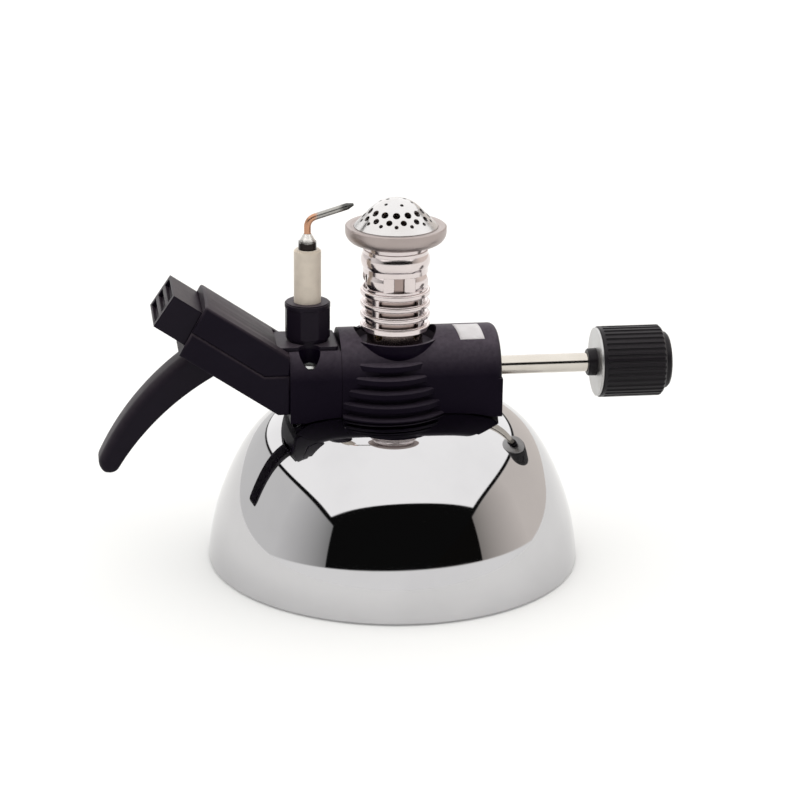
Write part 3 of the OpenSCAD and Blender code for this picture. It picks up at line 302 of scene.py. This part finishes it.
def turned_skin(name, outline, turns):
    """Turns a closed outline of (radius, height) points into a solid of revolution."""
    shape = bmesh.new()
    rings = []
    for i in range(turns):
        angle = 2 * math.pi * i / turns
        spots = [(r * math.cos(angle), r * math.sin(angle), z) for r, z in outline]
        rings.append([shape.verts.new(spot) for spot in spots])
    for i, ring in enumerate(rings):
        following = rings[(i + 1) % turns]
        for j in range(len(outline)):
            k = (j + 1) % len(outline)
            shape.faces.new((ring[j], ring[k], following[k], following[j]))
    bmesh.ops.recalc_face_normals(shape, faces=shape.faces)
    mesh = bpy.data.meshes.new(name)
    shape.to_mesh(mesh)
    shape.free()
    return add_piece(name, mesh, crease=35)


def circles_meet(first, first_radius, second, second_radius):
    """The outer point where two circles cross."""
    apart = (second - first).length
    toward = (second - first) / apart
    along = (apart ** 2 + first_radius ** 2 - second_radius ** 2) / (2 * apart)
    off = math.sqrt(first_radius ** 2 - along ** 2)
    return first + toward * along + Vector((-toward.y, toward.x)) * off


def steepness(centre, past):
    """How far an arc round a centre has turned down from level where it passes a point."""
    return math.atan2(past.x - centre.x, past.y - centre.y)


dome_radius = 0.0475
dome_height = 0.0417
dome_foot = 0.0006
crown_radius = 0.290
shoulder_radius = 0.0226
side_radius = 0.066
side_drop = 0.0043
dome_sheet = 0.0008
dome_hole = 0.0063
dome_lip = 0.003
dome_blend = 0.005
dome_step = 0.0001
dome_ring_every = 6
dome_turns = 240

# The outline's three arcs, from the crown to the foot, each with the slope where it ends.
crown_centre = Vector((0, dome_height - crown_radius))
side_centre = Vector((dome_radius - math.sqrt(side_radius ** 2 - side_drop ** 2), -side_drop))
shoulder_centre = circles_meet(
    side_centre, side_radius - shoulder_radius, crown_centre, crown_radius - shoulder_radius
)
dome_arcs = (
    (crown_radius, steepness(crown_centre, shoulder_centre)),
    (shoulder_radius, steepness(side_centre, shoulder_centre)),
    (side_radius, math.acos((dome_foot + side_drop) / side_radius)),
)

# The slope is evened over the joins of the arcs, as polished chrome shows any sudden change.
slopes = []
slope = 0.0
for radius, last in dome_arcs:
    while slope < last:
        slopes.append(slope)
        slope += dome_step / radius
blend_steps = round(dome_blend / dome_step)
r, z = 0.0, dome_height
outer, inner = [], []
for i in range(len(slopes)):
    reach = min(blend_steps, i, len(slopes) - 1 - i)
    nearby = slopes[i - reach:i + reach + 1]
    slope = sum(nearby) / len(nearby)
    r += dome_step * math.cos(slope)
    z -= dome_step * math.sin(slope)
    if r > dome_hole and z > dome_foot and i % dome_ring_every == 0:
        outer.append((r, z))
        inner.append((r - dome_sheet * math.sin(slope), z - dome_sheet * math.cos(slope)))
lip_top = dome_foot + dome_sheet
inner = [point for point in inner if point[0] > dome_hole and point[1] > lip_top]
foot_radius = outer[-1][0] + (outer[-1][1] - dome_foot) / math.tan(slope)
lip_radius = foot_radius - dome_lip
outline = [(dome_hole, outer[0][1]), *outer]
outline += [(foot_radius, dome_foot), (lip_radius, dome_foot), (lip_radius, lip_top)]
outline += [(inner[-1][0], lip_top), *reversed(inner), (dome_hole, inner[0][1])]

dome = turned_skin("dome", outline, dome_turns)
chrome = metal_finish(
    "dome_chrome", colour=(0.545, 0.54, 0.55), stain=(0.52, 0.515, 0.525),
    rough=0.012, rough_spread=0.035, scratch_depth=0.0000006, edge=0.0003
)
dome.data.materials.append(chrome)
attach(dome, "stand")
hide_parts("base_shell")


# ---- Bottom plate, foot and screws -----------------------------------------------
# A painted pressed plate closes the dome, held by screws in the weld nuts of the tank. Its
# rubber foot ring stands on the table. All the screws and pins are zinc-plated steel.

def rubber_finish(name, colour, worn, rough, grain_mm, grain_depth):
    """Matt rubber, sheathing or paint: skin grain, dusty spots, uneven gloss."""
    made, tree, mm = new_finish(name)
    dust = cloud(tree, mm, size=5.0, detail=5.0)
    grain = cloud(tree, mm, size=grain_mm, detail=4.0)
    shade = blend_colours(tree, ramp(tree, dust, low=0.45, high=0.8), colour, worn)
    gloss = ramp(tree, grain, low=0.3, high=0.7, out_low=rough - 0.06, out_high=rough + 0.10)
    normal = relief(tree, grain, strength=0.7, depth=grain_depth, edge=0.0002)
    close_finish(tree, shade, gloss, normal, gleam=0.4)
    return made


foot_rubber = rubber_finish(
    "foot_rubber", colour=(0.02, 0.02, 0.02), worn=(0.06, 0.058, 0.055),
    rough=0.72, grain_mm=0.5, grain_depth=0.00003
)
dress(foot_rubber, "foot_ring", "filler_seal", "spindle_seal")
plate_paint = rubber_finish(
    "plate_paint", colour=(0.012, 0.012, 0.013), worn=(0.03, 0.03, 0.032),
    rough=0.48, grain_mm=0.25, grain_depth=0.00001
)
dress(plate_paint, "base_plate")
zinc = metal_finish(
    "zinc_screws", colour=(0.62, 0.63, 0.64), stain=(0.48, 0.49, 0.46),
    rough=0.22, rough_spread=0.16, scratch_depth=0.000002
)
dress(zinc, "base_screws", "body_screws", "block_screw", "arm_screws", "pivot_pin", "cross_pin")


# ---- Fuel tank and filler valve --------------------------------------------------
# Two bare steel cups are lapped and brazed into the tank under the dome. The brass
# filler valve is screwed into its bottom.

tank_steel = metal_finish(
    "tank_steel", colour=(0.42, 0.43, 0.44), stain=(0.30, 0.27, 0.24),
    rough=0.32, rough_spread=0.22, scratch_depth=0.000003
)
dress(tank_steel, "tank_lower", "tank_upper")
brass = metal_finish(
    "turned_brass", colour=(0.72, 0.50, 0.20), stain=(0.52, 0.33, 0.13),
    rough=0.20, rough_spread=0.18, scratch_depth=0.000002, lathe=0.5
)
dress(brass, "filler_body", "filler_stem", "valve_block", "gland_nut", "gas_jet")


# ---- Valve body ------------------------------------------------------------------
# The black body is moulded in one piece with its ribs and the collar round the tube. The
# igniter block beside it is the same plastic. A screw from inside the dome holds each.

underground = -1000.0
top_light_fade = 11.0


def moulded_finish(name, colour, bloom, painted_top_light, rough, grain_depth, gleam, edge, top_light_fades_below=underground):
    """Moulded plastic: spark-eroded grain, uneven gloss, and painted light, a paler colour laid in patches
    on what faces up, which thins out down to a given height in millimetres."""
    made, tree, mm = new_finish(name)
    flow = cloud(tree, mm, size=9.0, detail=4.0, stretch=(1.0, 1.0, 1.6))
    grain = cloud(tree, mm, size=0.16, detail=3.0)
    light_patches = cloud(tree, mm, size=1.1, detail=6.0)
    facing = add_node(tree, "ShaderNodeNewGeometry").outputs["Normal"]
    faces_up = add_node(tree, "ShaderNodeSeparateXYZ", {0: facing}).outputs["Z"]
    height = add_node(tree, "ShaderNodeSeparateXYZ", {0: mm}).outputs["Z"]
    # The paler colour on upward faces is painted light. It is laid on in patches and thinned to a quarter
    # low down.
    patchy_light = ramp(tree, light_patches, low=0.30, high=0.70, out_low=0.72)
    painted_light_share = times(tree, ramp(tree, faces_up, low=0.08, high=0.80), patchy_light)
    high_up = ramp(tree, height, low=top_light_fades_below, high=top_light_fades_below + top_light_fade, out_low=0.25)
    painted_light_share = times(tree, painted_light_share, high_up)
    plain_colour = blend_colours(tree, ramp(tree, flow, low=0.35, high=0.75), colour, bloom)
    shade = blend_colours(tree, painted_light_share, plain_colour, painted_top_light)
    uneven = plus(tree, times(tree, flow, 0.5), times(tree, grain, 0.5))
    gloss = ramp(tree, uneven, low=0.35, high=0.7, out_low=rough - 0.05, out_high=rough + 0.09)
    normal = relief(tree, grain, strength=0.6, depth=grain_depth, edge=edge, samples=6)
    close_finish(tree, shade, gloss, normal, gleam=gleam)
    return made


# Its upward faces get painted light in a paler colour, which thins out down the ribs to 48 mm.
body_black = moulded_finish(
    "body_black", colour=(0.0036, 0.0014, 0.0068), bloom=(0.0058, 0.0030, 0.0094),
    painted_top_light=(0.092, 0.076, 0.096), rough=0.44, grain_depth=0.000006, gleam=0.06, edge=0.00035, top_light_fades_below=48.0
)
dress(body_black, "body_housing", "igniter_block")


# ---- Paper sticker ---------------------------------------------------------------
# A small blank sticker of coated white paper is stuck over the body's round top, near
# its right end. It follows the curve and lies a little askew.

sticker_left = (0.01465, 0.01579)
sticker_right = (0.02109, 0.02196)
sticker_back = -3.0
sticker_front = 34.2
sticker_thick = 0.00008
sticker_rows = 14
sticker_columns = 8
spindle_height = 0.050
body_radius = 0.011


def sheet_patch(name, rows):
    """A grid of points as one smooth surface."""
    wide = len(rows[0])
    grid = bpy.data.meshes.new(name)
    faces = []
    for i in range(len(rows) - 1):
        for j in range(wide - 1):
            at = i * wide + j
            faces.append((at, at + 1, at + wide + 1, at + wide))
    grid.from_pydata([tuple(point) for row in rows for point in row], [], faces)
    grid.shade_smooth()
    piece = bpy.data.objects.new(name, grid)
    bpy.context.scene.collection.objects.link(piece)
    return piece


def between(first, last, share):
    return first + (last - first) * share


def paper_finish(name, white, handled):
    """Coated paper: faint fibre mottling, a slight crinkle and spots yellowed by handling."""
    made, tree, mm = new_finish(name)
    fibres = cloud(tree, mm, size=0.18, detail=5.0, stretch=(1.0, 1.6, 1.0))
    aged = cloud(tree, mm, size=2.6)
    shade = blend_colours(tree, ramp(tree, aged, low=0.35, high=0.75), white, handled)
    gloss = ramp(tree, fibres, low=0.3, high=0.7, out_low=0.42, out_high=0.58)
    close_finish(tree, shade, gloss, relief(tree, fibres, strength=0.5, depth=0.000012))
    return made


rows = []
radius = body_radius + sticker_thick
for i in range(sticker_rows + 1):
    down = i / sticker_rows
    turn = math.radians(between(sticker_back, sticker_front, down))
    left_x = between(*sticker_left, down)
    right_x = between(*sticker_right, down)
    y = -radius * math.sin(turn)
    z = spindle_height + radius * math.cos(turn)
    rows.append([(between(left_x, right_x, j / sticker_columns), y, z) for j in range(sticker_columns + 1)])
sticker = sheet_patch("sticker", rows)
stiff = sticker.modifiers.new("thickness", "SOLIDIFY")
stiff.thickness = sticker_thick
stiff.offset = 1.0
sticker_paper = paper_finish("sticker_paper", white=(0.76, 0.74, 0.75), handled=(0.66, 0.63, 0.64))
sticker.data.materials.append(sticker_paper)
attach(sticker, "stand")


# ---- Igniter arm -----------------------------------------------------------------
# Two moulded shells meet on a joint line along the arm and hold the piezo cell. Their
# outer edges are rounded as they leave the mould, which opens the joint to a fine groove.

arm_bend = Vector((-0.0338, 0.0523))
arm_tilt = math.radians(34)
arm_length = 0.0215
shell_edge = 0.0006
shell_steps = 4
least_corner = math.radians(40)
flat_within = math.radians(0.4)
same_spot = 1e-7
edge_slack = 0.00002
mouth_past = 0.0004
mouth_above = 0.0065


def on_arm(point):
    """How far a point lies along the arm from its bend, and how far above its joint line."""
    x, z = point.x - arm_bend.x, point.z - arm_bend.y
    cos, sin = math.cos(arm_tilt), math.sin(arm_tilt)
    return z * sin - x * cos, z * cos + x * sin


def rounds_over(middle, half_wide):
    """Whether an edge of a shell is on its side, or on the upper rim of the arm's end."""
    along, above = on_arm(middle)
    at_side = abs(middle.y) > half_wide
    at_mouth = along > arm_length + mouth_past and above > mouth_above
    return at_side or at_mouth


def rounded_copy(node, name, finish, half_wide):
    """Stands in for a moulded solid whose sharp outer edges are rounded over."""
    shape = bmesh.new()
    shape.from_mesh(solids[node].data)
    bmesh.ops.remove_doubles(shape, verts=shape.verts, dist=same_spot)
    bmesh.ops.dissolve_limit(shape, angle_limit=flat_within, verts=shape.verts, edges=shape.edges)
    weight = shape.edges.layers.float.new("bevel_weight_edge")
    for edge in shape.edges:
        is_corner = len(edge.link_faces) == 2 and edge.is_convex and edge.calc_face_angle() > least_corner
        if is_corner and rounds_over((edge.verts[0].co + edge.verts[1].co) / 2, half_wide):
            edge[weight] = 1.0
    mesh = bpy.data.meshes.new(name)
    shape.to_mesh(mesh)
    shape.free()
    piece = add_piece(name, mesh, crease=28)
    over = piece.modifiers.new("rounding", "BEVEL")
    over.limit_method = "WEIGHT"
    over.width = shell_edge
    over.segments = shell_steps
    over.use_clamp_overlap = False
    mesh.materials.clear()
    mesh.materials.append(finish)
    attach(piece, "stand")
    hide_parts(node)


# The paler colour on its upward faces is painted light.
arm_black = moulded_finish(
    "arm_black", colour=(0.0046, 0.0022, 0.0078), bloom=(0.0068, 0.0042, 0.0104),
    painted_top_light=(0.052, 0.041, 0.050), rough=0.44, grain_depth=0.000006, gleam=0.09, edge=0.00012
)
for shell, name in (("arm_upper", "upper_shell"), ("arm_lower", "lower_shell")):
    rounded_copy(shell, name, arm_black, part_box(shell)[1][1] - edge_slack)

# The paler colour on its upward faces is painted light.
cell_plastic = moulded_finish(
    "cell_plastic", colour=(0.55, 0.50, 0.40), bloom=(0.48, 0.43, 0.34),
    painted_top_light=(0.58, 0.54, 0.45), rough=0.5, grain_depth=0.000004, gleam=0.4, edge=0.0002
)
dress(cell_plastic, "piezo_cell")
lead_sheath = rubber_finish(
    "lead_sheath", colour=(0.30, 0.03, 0.02), worn=(0.36, 0.06, 0.04),
    rough=0.5, grain_mm=0.3, grain_depth=0.000006
)
dress(lead_sheath, "igniter_lead")


# ---- Trigger and push button -----------------------------------------------------
# The finger lever swings on a steel pin and draws the button in, which fires the cell.
# Its back is rounded for the finger, and both are the same black plastic.

lever_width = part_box("trigger_lever")[1][1] * 2
lever_reach = 0.0216
lever_drop = 0.029
root_along = 0.0191
root_above = -0.0094
root_thick = 0.0096
root_slant = math.radians(29)
tip_radius = 0.0027
back_radius = 0.070
finger_radius = 0.068
back_edge = 0.0024
finger_edge = 0.0008
most_edge = 0.49
blade_top = -0.00697
blade_into_neck = 0.00002
blade_start = math.radians(118)
quarter = math.radians(90)
blade_steps = 44
tip_steps = 9
corner_steps = 7


def arm_point(along, above):
    """The place on the burner's middle plane this far along the arm and above its joint line."""
    cos, sin = math.cos(arm_tilt), math.sin(arm_tilt)
    return arm_bend + Vector((above * sin - along * cos, along * sin + above * cos))


def arc_centre(first, last, radius):
    """The centre of an arc that runs from one point to the other and bulges up and out."""
    chord = last - first
    off = math.sqrt(radius ** 2 - (chord.length / 2) ** 2)
    return (first + last) / 2 + Vector((-chord.y, chord.x)) / chord.length * off


def meets_circle(start, toward, centre, radius):
    """Where a line from a point inside a circle meets it."""
    offset = start - centre
    half = offset.dot(toward)
    return start + toward * (-half + math.sqrt(half ** 2 - offset.dot(offset) + radius ** 2))


def blade_section(outer, inner, width):
    """The blade's section between its back and its inner side: a rectangle with rounded corners."""
    thick = (outer - inner).length
    along = (outer - inner).normalized()
    ring = []
    for corner, side in enumerate((1, 1, -1, -1)):
        at_back = corner in (0, 3)
        edge = min(back_edge if at_back else finger_edge, thick * most_edge, width * most_edge)
        for i in range(corner_steps + 1):
            turn = quarter * (corner + i / corner_steps)
            depth = (thick - edge if at_back else edge) + edge * math.cos(turn)
            across = side * (width / 2 - edge) + edge * math.sin(turn)
            spot = inner + along * depth
            ring.append(Vector((spot.x, across, spot.y)))
    return ring


def skin_rings(shape, rings):
    """Joins rings of points one after the other into a closed skin."""
    made = [[shape.verts.new(point) for point in ring] for ring in rings]
    count = len(made[0])
    for first, second in zip(made, made[1:]):
        for j in range(count):
            k = (j + 1) % count
            shape.faces.new((first[j], first[k], second[k], second[j]))
    shape.faces.new(tuple(reversed(made[0])))
    shape.faces.new(tuple(made[-1]))


def cut_level(shape, above, keep):
    """Cuts a shape along the arm this far above its joint line. It keeps one side: 1 up, -1 down."""
    level = arm_point(0, above)
    up = Vector((math.sin(arm_tilt), 0, math.cos(arm_tilt)))
    every = list(shape.verts) + list(shape.edges) + list(shape.faces)
    cut = bmesh.ops.bisect_plane(
        shape, geom=every, plane_co=(level.x, 0, level.y), plane_no=up * -keep, clear_outer=True
    )
    rim = [part for part in cut["geom_cut"] if isinstance(part, bmesh.types.BMEdge)]
    bmesh.ops.edgenet_fill(shape, edges=rim)


# The blade lies between two arcs, which run from its root under the arm to its round tip.
root = arm_point(root_along, root_above)
tip = root - Vector((lever_reach, lever_drop))
back_centre = arc_centre(root, tip, back_radius)
tip_out = back_radius - tip_radius
tip_height = tip.y + tip_radius
tip_across = math.sqrt(tip_out ** 2 - (tip_height - back_centre.y) ** 2)
tip_centre = Vector((back_centre.x - tip_across, tip_height))
tip_ray = (tip_centre - back_centre) / tip_out
inner_root = root + Vector((math.cos(root_slant), -math.sin(root_slant))) * root_thick
finger_centre = arc_centre(inner_root, tip_centre - tip_ray * tip_radius, finger_radius)

rings = []
blade_end = math.atan2(tip_ray.y, tip_ray.x)
for i in range(blade_steps + 1):
    turn = between(blade_start, blade_end, i / blade_steps)
    ray = Vector((math.cos(turn), math.sin(turn)))
    inner = meets_circle(back_centre, ray, finger_centre, finger_radius)
    rings.append(blade_section(back_centre + ray * back_radius, inner, lever_width))
tip_down = Vector((-tip_ray.y, tip_ray.x))
for i in range(1, tip_steps):
    turn = quarter * i / tip_steps
    middle = tip_centre + tip_down * tip_radius * math.sin(turn)
    half = tip_ray * tip_radius * math.cos(turn)
    width = lever_width - 2 * finger_edge * (1 - math.cos(turn))
    rings.append(blade_section(middle + half, middle - half, width))

shape = bmesh.new()
skin_rings(shape, rings)
bmesh.ops.recalc_face_normals(shape, faces=shape.faces)
cut_level(shape, blade_top, keep=-1)

# The neck that goes up to the pivot inside the arm is cut from the solid.
neck = bmesh.new()
neck.from_mesh(solids["trigger_lever"].data)
bmesh.ops.remove_doubles(neck, verts=neck.verts, dist=same_spot)
cut_level(neck, blade_top - blade_into_neck, keep=1)
neck_mesh = bpy.data.meshes.new("neck")
neck.to_mesh(neck_mesh)
neck.free()
shape.from_mesh(neck_mesh)
lever_mesh = bpy.data.meshes.new("lever")
shape.to_mesh(lever_mesh)
shape.free()

# The paler colour on its upward faces is painted light.
lever_black = moulded_finish(
    "lever_black", colour=(0.0048, 0.0024, 0.0078), bloom=(0.0078, 0.0046, 0.0110),
    painted_top_light=(0.036, 0.027, 0.035), rough=0.40, grain_depth=0.000004, gleam=0.12, edge=0.0005
)
lever = add_piece("lever", lever_mesh, crease=28)
lever_mesh.materials.append(lever_black)
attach(lever, "trigger")
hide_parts("trigger_lever")
dress(lever_black, "push_button")


# ---- Valve spindle and knob ------------------------------------------------------
# The turned steel spindle opens the needle when the knob is turned. The knob is ribbed
# plastic with a soft matt coat, with a steel disc on its inner face.

bright = metal_finish(
    "turned_steel", colour=(0.60, 0.565, 0.515), stain=(0.54, 0.50, 0.45),
    rough=0.10, rough_spread=0.10, scratch_depth=0.000001, lathe=0.15
)
dress(bright, "spindle", "needle")
disc_steel = metal_finish(
    "disc_steel", colour=(0.52, 0.52, 0.52), stain=(0.46, 0.45, 0.44),
    rough=0.30, rough_spread=0.12, scratch_depth=0.000002
)
dress(disc_steel, "knob_plate")
# The paler colour on its upward faces is painted light.
knob_coat = moulded_finish(
    "knob_coat", colour=(0.0040, 0.0028, 0.0048), bloom=(0.0068, 0.0052, 0.0076),
    painted_top_light=(0.017, 0.014, 0.017), rough=0.36, grain_depth=0.000006, gleam=0.21, edge=0.00012
)
dress(knob_coat, "knob", "knob_cap")


# ---- Burner tube and flame cap ---------------------------------------------------
# The slotted sleeve and the bowl are turned brass with a nickel plate, over a plain brass
# tube. The flame cap is punched and spun from thin stainless steel and polished.

tube_brass = metal_finish(
    "tube_brass", colour=(0.40, 0.32, 0.30), stain=(0.32, 0.25, 0.23),
    rough=0.22, rough_spread=0.12, scratch_depth=0.000002
)
dress(tube_brass, "mixing_tube")
nickel = metal_finish(
    "sleeve_nickel", colour=(0.70, 0.635, 0.63), stain=(0.63, 0.565, 0.555),
    rough=0.10, rough_spread=0.10, scratch_depth=0.000001
)
dress(nickel, "burner_sleeve")
satin = metal_finish(
    "bowl_nickel", colour=(0.41, 0.355, 0.34), stain=(0.36, 0.305, 0.29),
    rough=0.32, rough_spread=0.10, scratch_depth=0.000002, lathe=0.3
)
dress(satin, "burner_head")
cap_steel = metal_finish(
    "cap_steel", colour=(0.62, 0.61, 0.61), stain=(0.56, 0.54, 0.53),
    rough=0.16, rough_spread=0.10, scratch_depth=0.000001
)
dress(cap_steel, "flame_cap")


# ---- Electrode -------------------------------------------------------------------
# A ceramic tube in a black moulded holder carries the wire, whose root is heat tinted and
# whose point is sooty. The ferrule that grips it is blackened at its foot.

def ceramic_finish(name, colour, stained):
    """Unglazed ceramic: fine grain, soft stains and a dull, slightly uneven surface."""
    made, tree, mm = new_finish(name)
    stain = cloud(tree, mm, size=3.0, detail=5.0)
    grain = cloud(tree, mm, size=0.12)
    shade = blend_colours(tree, ramp(tree, stain, low=0.4, high=0.8), colour, stained)
    gloss = ramp(tree, grain, low=0.3, high=0.7, out_low=0.42, out_high=0.6)
    close_finish(tree, shade, gloss, relief(tree, grain, strength=0.6, depth=0.00001, edge=0.0002))
    return made


def heated_metal(name, along, changes, softness, colours, rough):
    """Bare metal with three shades that follow each other along one axis, at places in mm."""
    made, tree, mm = new_finish(name)
    smear = cloud(tree, mm, size=0.8, detail=5.0)
    ragged = ramp(tree, smear, low=0.3, high=0.7, out_low=-0.25, out_high=0.25)
    place = plus(tree, add_node(tree, "ShaderNodeSeparateXYZ", {0: mm}).outputs[along], ragged)
    shade = colours[0]
    for change, soft, colour in zip(changes, softness, colours[1:]):
        shade = blend_colours(tree, soft_edge(tree, minus(tree, place, change), soft), shade, colour)
    gloss = ramp(tree, smear, low=0.3, high=0.7, out_low=rough, out_high=rough + 0.14)
    close_finish(tree, shade, gloss, relief(tree, smear, strength=0.5, depth=0.000003), metal=1.0)
    return made


# The paler colour on its upward faces is painted light.
holder_black = moulded_finish(
    "holder_black", colour=(0.0085, 0.0056, 0.0114), bloom=(0.0118, 0.0082, 0.0150),
    painted_top_light=(0.066, 0.054, 0.066), rough=0.42, grain_depth=0.000006, gleam=0.10, edge=0.00035
)
dress(holder_black, "electrode_holder")
white_ceramic = ceramic_finish(
    "insulator_ceramic", colour=(0.74, 0.655, 0.555), stained=(0.64, 0.565, 0.475)
)
dress(white_ceramic, "insulator")

tinted_length = 3.0
sooty_length = 3.2
wire_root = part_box("electrode_wire")[0][0] * 1000
wire_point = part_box("electrode_wire")[1][0] * 1000
copper_tint = (0.50, 0.27, 0.17)
grey_wire = (0.36, 0.35, 0.33)
soot = (0.10, 0.10, 0.095)
wire_metal = heated_metal(
    "wire_metal", "X", changes=(wire_root + tinted_length, wire_point - sooty_length),
    softness=(0.5, 0.6), colours=(copper_tint, grey_wire, soot), rough=0.20
)
dress(wire_metal, "electrode_wire")

black_foot = 2.2
bright_cone = 4.5
ferrule_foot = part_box("ferrule")[0][2] * 1000
burnt_black = (0.022, 0.018, 0.017)
bright_steel = (0.74, 0.72, 0.69)
warm_steel = (0.60, 0.52, 0.45)
ferrule_steel = heated_metal(
    "ferrule_steel", "Z", changes=(ferrule_foot + black_foot, ferrule_foot + bright_cone),
    softness=(0.5, 0.6), colours=(burnt_black, bright_steel, warm_steel), rough=0.16
)
dress(ferrule_steel, "ferrule")
